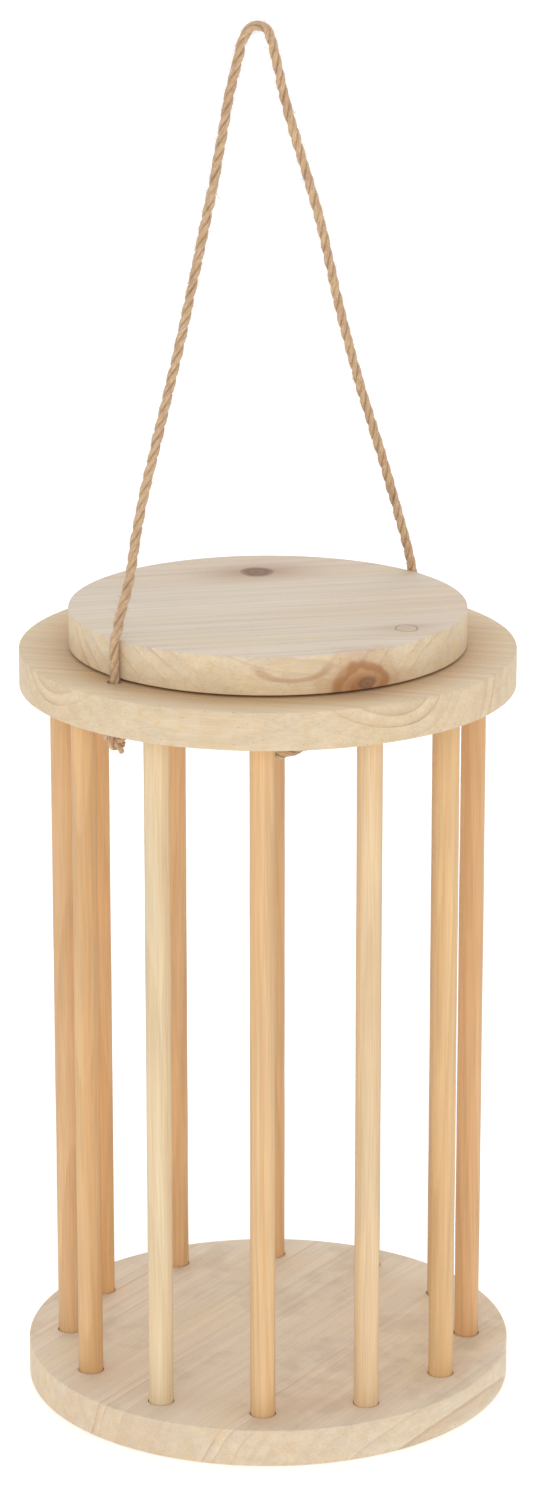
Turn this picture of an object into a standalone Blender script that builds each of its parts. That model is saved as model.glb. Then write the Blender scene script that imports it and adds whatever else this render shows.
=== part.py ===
"""Hanging wooden lantern: two round boards held apart by twelve dowels, a lift-off lid and a rope loop.

Metres, +Z up. The origin is the centre of the base board's underside and the front faces -Y.
"""

from math import cos, pi, radians, sin

import bmesh
import bpy
import numpy as np
from mathutils import Matrix, Vector

# Boards
BOARD_DIAMETER = 0.200
BOARD_THICKNESS = 0.0155
BOARD_EDGE_ROUND = 0.0007
BOARD_FACETS = 72
RING_OPENING_DIAMETER = 0.130

# Lid
LID_DIAMETER = 0.160
LID_THICKNESS = 0.0155
LID_EDGE_ROUND = 0.0006
PLUG_THICKNESS = 0.008
PLUG_EDGE_ROUND = 0.0010
PLUG_TO_OPENING = 0.0010

# Dowels
CAGE_HEIGHT = 0.283
DOWEL_COUNT = 12
DOWEL_DIAMETER = 0.010
DOWEL_INSET = 0.017
DOWEL_SOCKET_DEPTH = 0.010
DOWEL_END_CHAMFER = 0.0006
DOWEL_FACETS = 20
FRONT_DOWEL_AZIMUTH = -91.5

# Rope
ROPE_DIAMETER = 0.004
ROPE_HOLE_DIAMETER = 0.006
ROPE_TO_LID = 0.0005
ROPE_HOLE_FACETS = 20
ROPE_SIDES_RESOLUTION = 2
ROPE_POINT_SPACING = 0.008
KNOT_DIAMETER = 0.011
KNOT_HEIGHT = 0.0125
KNOT_TO_TAIL = 0.0016

# The gap left between two pieces that touch, and the gap that shows under the lid
TOUCHING_GAP = 0.0003
LID_SEAT_GAP = 0.0010

# Heights that follow from the sizes above
BASE_TOP = BOARD_THICKNESS
RING_BOTTOM = BASE_TOP + CAGE_HEIGHT
RING_TOP = RING_BOTTOM + BOARD_THICKNESS
LID_BOTTOM = RING_TOP + LID_SEAT_GAP
LID_TOP = LID_BOTTOM + LID_THICKNESS

# Places that follow from the sizes above
DOWEL_CIRCLE_RADIUS = BOARD_DIAMETER / 2 - DOWEL_INSET
DOWEL_PITCH = 360 / DOWEL_COUNT
# The rope passes halfway between two dowels and just outside the lid.
FRONT_HOLE_AZIMUTH = FRONT_DOWEL_AZIMUTH - 1.5 * DOWEL_PITCH
ROPE_CIRCLE_RADIUS = LID_DIAMETER / 2 + ROPE_TO_LID + ROPE_DIAMETER / 2
# The loop turns over at the mouths of its holes, one rope radius above the board.
SWING_HEIGHT = RING_TOP + TOUCHING_GAP + ROPE_DIAMETER / 2

# The loop's route, from the front hole up to the top bend and down to the back hole.
# Each point is the share of the way out to the rope's holes (-1 is the front hole, 1 the back
# one), how far it lies to the side of the loop's plane, and its height above the ring.
LOOP_ROUTE = [
    (-1.000, 0.0000, 0.0003),
    (-1.000, 0.0000, 0.0080),
    (-0.999, 0.0000, 0.0146),
    (-0.984, 0.0000, 0.0193),
    (-0.962, 0.0000, 0.0255),
    (-0.910, 0.0006, 0.0391),
    (-0.861, 0.0003, 0.0555),
    (-0.803, -0.0004, 0.0710),
    (-0.690, 0.0005, 0.1010),
    (-0.562, 0.0000, 0.1310),
    (-0.444, -0.0006, 0.1610),
    (-0.347, 0.0002, 0.1910),
    (-0.257, 0.0004, 0.2210),
    (-0.197, 0.0000, 0.2350),
    (-0.160, 0.0000, 0.2434),
    (-0.119, 0.0000, 0.2472),
    (-0.070, 0.0000, 0.2484),
    (-0.021, 0.0000, 0.2472),
    (0.019, 0.0000, 0.2434),
    (0.060, 0.0000, 0.2330),
    (0.120, -0.0004, 0.2175),
    (0.187, 0.0002, 0.2015),
    (0.338, 0.0006, 0.1685),
    (0.470, -0.0003, 0.1350),
    (0.616, -0.0005, 0.1010),
    (0.776, 0.0004, 0.0661),
    (0.862, 0.0000, 0.0484),
    (0.940, 0.0000, 0.0312),
    (0.982, 0.0000, 0.0201),
    (0.999, 0.0000, 0.0146),
    (1.000, 0.0000, 0.0080),
    (1.000, 0.0000, 0.0003),
]

# The long free end that droops from the side of the back knot. Each point is how far in it lies
# from the knot's side, how far to the side of the loop's plane, and its height from the ring's
# underside.
TAIL_ROUTE = [
    (0.0000, 0.0000, -0.0068),
    (0.0028, 0.0003, -0.0074),
    (0.0102, 0.0015, -0.0096),
    (0.0210, 0.0030, -0.0142),
    (0.0325, 0.0036, -0.0208),
    (0.0441, 0.0028, -0.0270),
    (0.0548, 0.0006, -0.0317),
    (0.0639, -0.0026, -0.0343),
    (0.0705, -0.0056, -0.0345),
]

WOOD_ROUGHNESS = 0.55
ROPE_ROUGHNESS = 0.9
BOARD_COLOUR = (0.76, 0.60, 0.41)
LID_COLOUR = (0.74, 0.63, 0.50)
PLUG_COLOUR = (0.72, 0.58, 0.42)
DOWEL_COLOURS = [
    (0.73, 0.49, 0.26),
    (0.78, 0.62, 0.40),
    (0.72, 0.46, 0.23),
    (0.75, 0.52, 0.29),
]
ROPE_COLOUR = (0.50, 0.31, 0.18)


def clear_scene():
    for thing in list(bpy.data.objects):
        bpy.data.objects.remove(thing, do_unlink=True)


def material(name, colour, roughness):
    """A plain finish of its own for one piece."""
    finish = bpy.data.materials.new(name)
    finish.use_nodes = True
    shader = finish.node_tree.nodes["Principled BSDF"]
    shader.inputs["Base Color"].default_value = (*colour, 1.0)
    shader.inputs["Roughness"].default_value = roughness
    shader.inputs["Metallic"].default_value = 0.0
    return finish


def place(piece, colour, roughness, parent=None):
    """Gives a piece its material, puts it in the scene and hangs it on its parent."""
    bpy.context.scene.collection.objects.link(piece)
    piece.data.materials.append(material(piece.name, colour, roughness))
    if parent is not None:
        piece.parent = parent
        piece.matrix_parent_inverse = Matrix.Translation(-parent.location)
    return piece


def joint_empty(name, location):
    """An empty on a joint's axis, which the moving pieces hang on."""
    empty = bpy.data.objects.new(name, None)
    empty.location = location
    empty.empty_display_size = 0.02
    bpy.context.scene.collection.objects.link(empty)
    return empty


def on_circle(radius, azimuth, height):
    """A point at an azimuth in degrees, counted from +X towards +Y."""
    return Vector((radius * cos(radians(azimuth)), radius * sin(radians(azimuth)), height))


def flat_radius(radius, facets):
    """The corner radius of a many-sided hole whose flats stand at the given radius."""
    return radius / cos(pi / facets)


def shade_round(mesh):
    mesh.shade_smooth()
    mesh.set_sharp_from_angle(angle=radians(35))


def turned_mesh(name, profile, facets, edge_round):
    """Turns an outline of (radius, height) points about Z and takes the sharpness off its corners."""
    shape = bmesh.new()
    points = [shape.verts.new((radius, 0.0, height)) for radius, height in profile]
    closed = profile[0][0] > 0.0
    ends = points[1:] + points[:1] if closed else points[1:]
    edges = [shape.edges.new(pair) for pair in zip(points, ends)]
    bmesh.ops.spin(
        shape,
        geom=points + edges,
        cent=(0.0, 0.0, 0.0),
        axis=(0.0, 0.0, 1.0),
        angle=2 * pi,
        steps=facets,
        use_merge=True,
    )
    bmesh.ops.remove_doubles(shape, verts=shape.verts, dist=1e-6)
    bmesh.ops.recalc_face_normals(shape, faces=shape.faces)
    rims = [edge for edge in shape.edges if edge.calc_face_angle(0.0) > radians(60)]
    bmesh.ops.bevel(
        shape,
        geom=rims,
        offset=edge_round,
        segments=1,
        affect="EDGES",
    )
    mesh = bpy.data.meshes.new(name)
    shape.to_mesh(mesh)
    shape.free()
    shade_round(mesh)
    return mesh


def disc_mesh(name, diameter, bottom, top, facets, edge_round):
    radius = diameter / 2
    profile = [(0.0, top), (radius, top), (radius, bottom), (0.0, bottom)]
    return turned_mesh(name, profile, facets, edge_round)


def ring_mesh(name, diameter, opening, bottom, top, facets, edge_round):
    outer = diameter / 2
    inner = opening / 2
    profile = [(outer, top), (outer, bottom), (inner, bottom), (inner, top)]
    return turned_mesh(name, profile, facets, edge_round)


def peg_cutter(name, places, radius, bottom, top, facets):
    """One cutter with an upright round peg at each place."""
    shape = bmesh.new()
    for spot in places:
        bmesh.ops.create_cone(
            shape,
            cap_ends=True,
            segments=facets,
            radius1=flat_radius(radius, facets),
            radius2=flat_radius(radius, facets),
            depth=top - bottom,
            matrix=Matrix.Translation((spot.x, spot.y, (top + bottom) / 2)),
        )
    mesh = bpy.data.meshes.new(name)
    shape.to_mesh(mesh)
    shape.free()
    cutter = bpy.data.objects.new(name, mesh)
    cutter.hide_render = True
    cutter.display_type = "WIRE"
    bpy.context.scene.collection.objects.link(cutter)
    return cutter


def cut(piece, cutter):
    modifier = piece.modifiers.new(cutter.name, "BOOLEAN")
    modifier.operation = "DIFFERENCE"
    modifier.solver = "EXACT"
    modifier.object = cutter


def dowel_places():
    """The dowels' centres, from the front one round."""
    return [
        on_circle(DOWEL_CIRCLE_RADIUS, FRONT_DOWEL_AZIMUTH + i * DOWEL_PITCH, 0.0)
        for i in range(DOWEL_COUNT)
    ]


def rope_places():
    """The front and the back rope hole's centres."""
    return [
        on_circle(ROPE_CIRCLE_RADIUS, FRONT_HOLE_AZIMUTH + turn, 0.0) for turn in (0, 180)
    ]


def socket_radius():
    return DOWEL_DIAMETER / 2 + TOUCHING_GAP


def base_plate():
    mesh = disc_mesh(
        "base_plate", BOARD_DIAMETER, 0.0, BASE_TOP, BOARD_FACETS, BOARD_EDGE_ROUND
    )
    piece = place(bpy.data.objects.new("base_plate", mesh), BOARD_COLOUR, WOOD_ROUGHNESS)
    socket_bottom = BASE_TOP - DOWEL_SOCKET_DEPTH - TOUCHING_GAP
    sockets = peg_cutter(
        "base_sockets",
        dowel_places(),
        socket_radius(),
        socket_bottom,
        BASE_TOP + DOWEL_SOCKET_DEPTH,
        DOWEL_FACETS,
    )
    cut(piece, sockets)


def top_ring():
    mesh = ring_mesh(
        "top_ring",
        BOARD_DIAMETER,
        RING_OPENING_DIAMETER,
        RING_BOTTOM,
        RING_TOP,
        BOARD_FACETS,
        BOARD_EDGE_ROUND,
    )
    piece = place(bpy.data.objects.new("top_ring", mesh), BOARD_COLOUR, WOOD_ROUGHNESS)
    socket_top = RING_BOTTOM + DOWEL_SOCKET_DEPTH + TOUCHING_GAP
    sockets = peg_cutter(
        "ring_sockets",
        dowel_places(),
        socket_radius(),
        RING_BOTTOM - DOWEL_SOCKET_DEPTH,
        socket_top,
        DOWEL_FACETS,
    )
    cut(piece, sockets)
    rope_holes = peg_cutter(
        "ring_rope_holes",
        rope_places(),
        ROPE_HOLE_DIAMETER / 2,
        RING_BOTTOM - BOARD_THICKNESS,
        RING_TOP + BOARD_THICKNESS,
        ROPE_HOLE_FACETS,
    )
    cut(piece, rope_holes)


def lid():
    """The lid board and the plug glued under it, which drops into the ring's opening."""
    lift = joint_empty("lid_lift_axis", (0.0, 0.0, LID_BOTTOM))
    lid_mesh = disc_mesh(
        "lid", LID_DIAMETER, LID_BOTTOM, LID_TOP, BOARD_FACETS, LID_EDGE_ROUND
    )
    place(bpy.data.objects.new("lid", lid_mesh), LID_COLOUR, WOOD_ROUGHNESS, lift)
    plug_top = LID_BOTTOM - TOUCHING_GAP
    plug_mesh = disc_mesh(
        "lid_plug",
        RING_OPENING_DIAMETER - 2 * PLUG_TO_OPENING,
        plug_top - PLUG_THICKNESS,
        plug_top,
        BOARD_FACETS,
        PLUG_EDGE_ROUND,
    )
    place(bpy.data.objects.new("lid_plug", plug_mesh), PLUG_COLOUR, WOOD_ROUGHNESS, lift)


def dowels():
    bottom = BASE_TOP - DOWEL_SOCKET_DEPTH
    top = RING_BOTTOM + DOWEL_SOCKET_DEPTH
    for i, spot in enumerate(dowel_places()):
        name = f"dowel_{i + 1:02d}"
        mesh = disc_mesh(
            name, DOWEL_DIAMETER, bottom, top, DOWEL_FACETS, DOWEL_END_CHAMFER
        )
        dowel = bpy.data.objects.new(name, mesh)
        dowel.location = (spot.x, spot.y, 0.0)
        place(dowel, DOWEL_COLOURS[i % len(DOWEL_COLOURS)], WOOD_ROUGHNESS)


def loop_point(share, side, height):
    """A point in the rope loop's own plane, which stands on the line through the two holes."""
    front = rope_places()[0].normalized()
    across = Vector((0.0, 0.0, 1.0)).cross(front)
    return -share * ROPE_CIRCLE_RADIUS * front + side * across + Vector((0.0, 0.0, height))


def smooth_line(points, spacing):
    """Evenly spaced points on one smooth curve through the given ones."""
    known = np.array(points)
    padded = np.vstack([2 * known[0] - known[1], known, 2 * known[-1] - known[-2]])
    fine = []
    for i in range(1, len(padded) - 2):
        before, start, end, after = padded[i - 1 : i + 3]
        for t in np.linspace(0.0, 1.0, 24, endpoint=False):
            fine.append(
                0.5
                * (
                    2 * start
                    + (end - before) * t
                    + (2 * before - 5 * start + 4 * end - after) * t**2
                    + (3 * start - before - 3 * end + after) * t**3
                )
            )
    fine.append(padded[-2])
    fine = np.array(fine)
    steps = np.linalg.norm(np.diff(fine, axis=0), axis=1)
    travelled = np.concatenate([[0.0], np.cumsum(steps)])
    count = round(travelled[-1] / spacing) + 1
    wanted = np.linspace(0.0, travelled[-1], count)
    return [
        Vector([float(np.interp(at, travelled, fine[:, axis])) for axis in range(3)])
        for at in wanted
    ]


def rope_tube(name, points, parent=None):
    """A plain tube of the rope's diameter with closed ends, its origin at its parent's joint."""
    origin = parent.location if parent is not None else Vector((0.0, 0.0, 0.0))
    curve = bpy.data.curves.new(name, "CURVE")
    curve.dimensions = "3D"
    curve.bevel_depth = ROPE_DIAMETER / 2
    curve.bevel_resolution = ROPE_SIDES_RESOLUTION
    curve.use_fill_caps = True
    spline = curve.splines.new("POLY")
    spline.points.add(len(points) - 1)
    for point, spot in zip(spline.points, points):
        point.co = (*(spot - origin), 1.0)
    tube = bpy.data.objects.new(name, curve)
    tube.location = origin
    return place(tube, ROPE_COLOUR, ROPE_ROUGHNESS, parent)


def rope_loop():
    swing = joint_empty("rope_swing_axis", (0.0, 0.0, SWING_HEIGHT))
    route = [loop_point(share, side, RING_TOP + up) for share, side, up in LOOP_ROUTE]
    rope_tube("hanging_rope", smooth_line(route, ROPE_POINT_SPACING), swing)


def rope_in_hole(name, spot):
    """The stretch of rope inside the ring, between its knot and the loop."""
    bottom = Vector((spot.x, spot.y, RING_BOTTOM))
    middle = Vector((spot.x, spot.y, (RING_BOTTOM + RING_TOP) / 2))
    top = Vector((spot.x, spot.y, RING_TOP))
    rope_tube(name, [bottom, middle, top])


def knot(name, spot):
    """The overhand knot that holds a rope end under the ring."""
    shape = bmesh.new()
    bmesh.ops.create_uvsphere(
        shape, u_segments=20, v_segments=10, radius=KNOT_DIAMETER / 2
    )
    bmesh.ops.scale(shape, vec=(1.0, 1.0, KNOT_HEIGHT / KNOT_DIAMETER), verts=shape.verts)
    mesh = bpy.data.meshes.new(name)
    shape.to_mesh(mesh)
    shape.free()
    shade_round(mesh)
    piece = bpy.data.objects.new(name, mesh)
    middle = RING_BOTTOM - TOUCHING_GAP - KNOT_HEIGHT / 2
    piece.location = (spot.x, spot.y, middle)
    place(piece, ROPE_COLOUR, ROPE_ROUGHNESS)


def rope_ends():
    for side, spot in zip(("front", "back"), rope_places()):
        rope_in_hole(f"rope_end_{side}", spot)
        knot(f"rope_knot_{side}", spot)
    knot_side = ROPE_CIRCLE_RADIUS - KNOT_DIAMETER / 2 - KNOT_TO_TAIL
    route = [
        loop_point((knot_side - inward) / ROPE_CIRCLE_RADIUS, side, RING_BOTTOM + up)
        for inward, side, up in TAIL_ROUTE
    ]
    rope_tube("rope_tail_back", smooth_line(route, ROPE_POINT_SPACING))


clear_scene()
base_plate()
top_ring()
lid()
dowels()
rope_loop()
rope_ends()
bpy.context.view_layer.update()
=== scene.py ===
from math import cos, radians, sin, tau

import bmesh
import bpy
import numpy as np
from mathutils import Matrix, Vector


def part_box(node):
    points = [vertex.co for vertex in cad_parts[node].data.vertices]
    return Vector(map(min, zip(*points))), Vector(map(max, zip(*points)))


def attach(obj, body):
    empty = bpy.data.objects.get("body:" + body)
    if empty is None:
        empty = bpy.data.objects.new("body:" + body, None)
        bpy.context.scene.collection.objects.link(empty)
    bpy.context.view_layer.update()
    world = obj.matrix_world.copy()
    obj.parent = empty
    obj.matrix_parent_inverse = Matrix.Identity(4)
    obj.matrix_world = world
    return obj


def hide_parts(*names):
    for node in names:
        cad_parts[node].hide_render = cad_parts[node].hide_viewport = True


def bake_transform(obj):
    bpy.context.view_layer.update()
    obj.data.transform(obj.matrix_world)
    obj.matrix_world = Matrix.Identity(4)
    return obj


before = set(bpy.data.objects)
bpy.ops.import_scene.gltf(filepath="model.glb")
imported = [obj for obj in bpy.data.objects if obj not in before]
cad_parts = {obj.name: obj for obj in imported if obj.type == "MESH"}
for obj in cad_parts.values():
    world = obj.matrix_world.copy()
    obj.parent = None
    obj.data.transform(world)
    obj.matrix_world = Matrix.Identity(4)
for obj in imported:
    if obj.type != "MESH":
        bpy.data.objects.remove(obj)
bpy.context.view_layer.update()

# ---------------------------------------------------------------------------
# Camera. It stands a little above the lid and looks slightly down at the
# middle of the cage, from straight in front.
# ---------------------------------------------------------------------------
camera = bpy.data.objects.new("camera", bpy.data.cameras.new("camera"))
bpy.context.scene.collection.objects.link(camera)
camera.location = (0.0, -1.8197, 0.8092)
camera.rotation_euler = (radians(73.547), 0.0, radians(-0.116))
camera.data.sensor_width = 36.0
camera.data.lens = 113.45
camera.data.clip_start = 0.05
camera.data.clip_end = 50.0
bpy.context.scene.camera = camera

# ---------------------------------------------------------------------------
# Rope. One length of 4 mm jute, laid up from three loosely spun strands. It
# comes up through a hole in the ring, bends over the lid's edge, turns over at
# the top as if on a hook and goes down through the hole opposite.
# ---------------------------------------------------------------------------
ROPE_DIAMETER = 0.004
ROPE_LINE_STEP = 0.0008
STRAND_COUNT = 3
STRAND_RADIUS = 0.00113
STRAND_LAY_RADIUS = 0.00090
STRAND_PITCH = 0.0195
STRAND_SIDES = 10
# How often a strand's twist and its girth change, and by how much.
TWIST_EVERY = 0.011
TWIST_SPREAD = 0.16
GIRTH_EVERY = 0.006
GIRTH_SPREAD = 0.055
ROUGHNESS_SPREAD = 0.02
FRAYED_OPENING = 1.3

HAIR_COUNT = 4800
HAIR_REACH = 0.0040
HAIR_SHORTEST = 0.0006
HAIR_SIDES = 3
HAIR_STATIONS = 4
HAIR_THICKNESS = (0.00003, 0.000055)

ring_low, ring_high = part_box("top_ring")
front_hole_low, front_hole_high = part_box("rope_end_front")
front_hole = (front_hole_low + front_hole_high) / 2
rope_circle = Vector((front_hole.x, front_hole.y, 0.0))
to_front_hole = rope_circle.normalized()
loop_side = Vector((0.0, 0.0, 1.0)).cross(to_front_hole)

# The loop's own points: the share of the way out to the holes (-1 at the front
# one), the distance to the side, and the height above the ring.
LOOP_ROUTE = [
    (-1.000, 0.0000, 0.0003),
    (-1.000, 0.0000, 0.0080),
    (-0.999, 0.0000, 0.0146),
    (-0.984, 0.0000, 0.0193),
    (-0.962, 0.0000, 0.0255),
    (-0.910, 0.0006, 0.0391),
    (-0.861, 0.0003, 0.0555),
    (-0.803, -0.0004, 0.0710),
    (-0.690, 0.0005, 0.1010),
    (-0.562, 0.0000, 0.1310),
    (-0.444, -0.0006, 0.1610),
    (-0.347, 0.0002, 0.1910),
    (-0.257, 0.0004, 0.2210),
    (-0.197, 0.0000, 0.2350),
    (-0.160, 0.0000, 0.2434),
    (-0.119, 0.0000, 0.2472),
    (-0.070, 0.0000, 0.2484),
    (-0.021, 0.0000, 0.2472),
    (0.019, 0.0000, 0.2434),
    (0.060, 0.0000, 0.2330),
    (0.120, -0.0004, 0.2175),
    (0.187, 0.0002, 0.2015),
    (0.338, 0.0006, 0.1685),
    (0.470, -0.0003, 0.1350),
    (0.616, -0.0005, 0.1010),
    (0.776, 0.0004, 0.0661),
    (0.862, 0.0000, 0.0484),
    (0.940, 0.0000, 0.0312),
    (0.982, 0.0000, 0.0201),
    (0.999, 0.0000, 0.0146),
    (1.000, 0.0000, 0.0080),
    (1.000, 0.0000, 0.0003),
]


def loop_point(share, side, height):
    """A point of the loop's plane, from its share of the way out, side and height."""
    flat = -share * rope_circle + side * loop_side
    return Vector((flat.x, flat.y, height))


def smooth_line(points, step):
    """Points a step apart on one smooth curve through the given ones."""
    known = np.array(points)
    padded = np.vstack([2 * known[0] - known[1], known, 2 * known[-1] - known[-2]])
    fine = []
    for i in range(1, len(padded) - 2):
        before, start, end, after = padded[i - 1 : i + 3]
        for t in np.linspace(0.0, 1.0, 24, endpoint=False):
            pull = (end - before) * t
            bend = (2 * before - 5 * start + 4 * end - after) * t**2
            turn = (3 * start - before - 3 * end + after) * t**3
            fine.append(0.5 * (2 * start + pull + bend + turn))
    fine = np.array([*fine, padded[-2]])
    steps = np.linalg.norm(np.diff(fine, axis=0), axis=1)
    along = np.concatenate([[0.0], np.cumsum(steps)])
    at = np.linspace(0.0, along[-1], max(2, round(along[-1] / step) + 1))
    return np.stack([np.interp(at, along, fine[:, k]) for k in range(3)], axis=1)


def carried_frames(line):
    """Two cross directions at each point of a line, carried along it without twist."""
    ahead = np.gradient(line, axis=0)
    ahead /= np.linalg.norm(ahead, axis=1)[:, None]
    first = np.cross(ahead[0], (0.31, 0.95, 0.05))
    first /= np.linalg.norm(first)
    firsts = [first]
    for direction in ahead[1:]:
        kept = firsts[-1] - direction * (firsts[-1] @ direction)
        firsts.append(kept / np.linalg.norm(kept))
    firsts = np.array(firsts)
    return ahead, firsts, np.cross(ahead, firsts)


def tube_faces(rings, sides, offset):
    """The walls and the two end caps of a tube of rings of points."""
    faces = []
    for i in range(rings - 1):
        for k in range(sides):
            a = offset + i * sides + k
            b = offset + i * sides + (k + 1) % sides
            faces.append((a, b, b + sides, a + sides))
    faces.append(tuple(offset + k for k in reversed(range(sides))))
    faces.append(tuple(offset + (rings - 1) * sides + k for k in range(sides)))
    return faces


def uneven(chance, along, every, middle, spread):
    """Random values every so often along a strand, joined by straight lines."""
    count = max(3, int(along[-1] / every))
    stops = np.linspace(0.0, along[-1], count)
    return np.interp(along, stops, chance.normal(middle, spread, count))


def laid_rope(name, line, seed, frayed=0.0):
    """Three strands twisted round a line, each a tube with its own slight unevenness.

    The UV map runs along each strand in metres and round it in turns. A frayed end lets
    the strands open out over the last stretch.
    """
    chance = np.random.default_rng(seed)
    ahead, across, up = carried_frames(line)
    along = np.concatenate([[0.0], np.cumsum(np.linalg.norm(np.diff(line, axis=0), axis=1))])
    points = []
    faces = []
    maps = []
    for strand in range(STRAND_COUNT):
        phase = tau * strand / STRAND_COUNT
        wander = uneven(chance, along, TWIST_EVERY, 0.0, TWIST_SPREAD)
        girth = uneven(chance, along, GIRTH_EVERY, 1.0, GIRTH_SPREAD)
        turn = phase + tau * along / STRAND_PITCH + wander
        opening = np.clip((along - along[-1] + frayed) / max(frayed, 1e-6), 0.0, 1.0)
        lay = STRAND_LAY_RADIUS * (1.0 + FRAYED_OPENING * opening**2)
        out = np.cos(turn)[:, None] * across + np.sin(turn)[:, None] * up
        centre = line + lay[:, None] * out
        strand_ahead = np.gradient(centre, axis=0)
        strand_ahead /= np.linalg.norm(strand_ahead, axis=1)[:, None]
        side = np.cross(strand_ahead, out)
        side /= np.linalg.norm(side, axis=1)[:, None]
        outward = np.cross(side, strand_ahead)
        offset = len(points)
        for i in range(len(line)):
            radius = STRAND_RADIUS * girth[i]
            for k in range(STRAND_SIDES):
                angle = tau * k / STRAND_SIDES
                rough = 1.0 + chance.normal(0.0, ROUGHNESS_SPREAD)
                spot = outward[i] * cos(angle) + side[i] * sin(angle)
                points.append(centre[i] + radius * rough * spot)
                maps.append((along[i] * 100.0, k / STRAND_SIDES))
        faces += tube_faces(len(line), STRAND_SIDES, offset)
    mesh = bpy.data.meshes.new(name)
    mesh.from_pydata([tuple(p) for p in points], [], faces)
    fibre_map = mesh.uv_layers.new(name="fibre")
    for face in mesh.polygons:
        turns = [maps[v][1] for v in face.vertices]
        wraps = len(turns) == 4 and max(turns) - min(turns) > 0.5
        for loop, vertex in zip(face.loop_indices, face.vertices):
            length, turn = maps[vertex]
            fibre_map.data[loop].uv = (length, turn + (1.0 if wraps and turn < 0.5 else 0.0))
    mesh.shade_smooth()
    piece = bpy.data.objects.new(name, mesh)
    bpy.context.scene.collection.objects.link(piece)
    return piece


def loose_fibres(name, line, count, reach, seed):
    """Short hairs that stand off the rope, each a thin three-sided spike with a bend."""
    chance = np.random.default_rng(seed)
    ahead, across, up = carried_frames(line)
    points = []
    faces = []
    for _ in range(count):
        i = int(chance.integers(0, len(line)))
        angle = chance.uniform(0.0, tau)
        out = np.cos(angle) * across[i] + np.sin(angle) * up[i]
        lean = chance.uniform(-1.0, 1.0) * ahead[i]
        lean = lean + chance.uniform(-0.7, 0.7) * np.cross(ahead[i], out)
        length = reach * chance.uniform(0.25, 1.0) ** 2 + HAIR_SHORTEST
        thick = chance.uniform(*HAIR_THICKNESS)
        root = line[i] + out * ROPE_DIAMETER * 0.42
        bend = chance.normal(0.0, 0.35, 3)
        offset = len(points)
        for station in range(HAIR_STATIONS):
            t = station / (HAIR_STATIONS - 1)
            spot = root + length * t * (0.75 * out + 0.8 * lean) + length * t * t * 0.5 * bend
            width = thick * (1.0 - 0.7 * t)
            for k in range(HAIR_SIDES):
                a = tau * k / HAIR_SIDES
                points.append(spot + width * (np.cos(a) * ahead[i] + np.sin(a) * across[i]))
        faces += tube_faces(HAIR_STATIONS, HAIR_SIDES, offset)
    mesh = bpy.data.meshes.new(name)
    mesh.from_pydata([tuple(p) for p in points], [], faces)
    mesh.shade_smooth()
    piece = bpy.data.objects.new(name, mesh)
    bpy.context.scene.collection.objects.link(piece)
    return piece


class Finish:
    """A material and short ways to add the nodes of its pattern."""

    def __init__(self, name):
        self.material = bpy.data.materials.new(name)
        self.material.use_nodes = True
        self.nodes = self.material.node_tree.nodes
        self.links = self.material.node_tree.links
        self.shader = self.nodes["Principled BSDF"]

    def add(self, kind, **settings):
        node = self.nodes.new(kind)
        for key, value in settings.items():
            setattr(node, key, value)
        return node

    def feed(self, value, socket):
        if isinstance(value, bpy.types.NodeSocket):
            self.links.new(value, socket)
        else:
            socket.default_value = value

    def maths(self, operation, *values):
        node = self.add("ShaderNodeMath", operation=operation)
        for value, socket in zip(values, node.inputs):
            self.feed(value, socket)
        return node.outputs[0]

    def vector(self, operation, *values, out=0):
        node = self.add("ShaderNodeVectorMath", operation=operation)
        for value, socket in zip(values, node.inputs):
            self.feed(value, socket)
        return node.outputs[out]

    def scaled(self, colour, factor):
        node = self.add("ShaderNodeVectorMath", operation="SCALE")
        self.feed(colour, node.inputs["Vector"])
        self.feed(factor, node.inputs["Scale"])
        return node.outputs["Vector"]

    def noise(self, place, scale, detail=2.0, roughness=0.5, out="Fac"):
        node = self.add("ShaderNodeTexNoise")
        self.feed(place, node.inputs["Vector"])
        node.inputs["Scale"].default_value = scale
        node.inputs["Detail"].default_value = detail
        node.inputs["Roughness"].default_value = roughness
        return node.outputs[out]

    def step(self, value, low, high, new_low=0.0, new_high=1.0):
        node = self.add("ShaderNodeMapRange", interpolation_type="SMOOTHSTEP")
        self.feed(value, node.inputs["Value"])
        node.inputs["From Min"].default_value = low
        node.inputs["From Max"].default_value = high
        node.inputs["To Min"].default_value = new_low
        node.inputs["To Max"].default_value = new_high
        return node.outputs["Result"]

    def blend(self, share, first, second, how="MIX"):
        node = self.add("ShaderNodeMix", data_type="RGBA", blend_type=how)
        self.feed(share, node.inputs["Factor"])
        self.feed(first, node.inputs[6])
        self.feed(second, node.inputs[7])
        return node.outputs[2]

    def bump(self, height, strength, distance):
        node = self.add("ShaderNodeBump")
        node.inputs["Strength"].default_value = strength
        node.inputs["Distance"].default_value = distance
        self.feed(height, node.inputs["Height"])
        self.links.new(node.outputs["Normal"], self.shader.inputs["Normal"])


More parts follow.
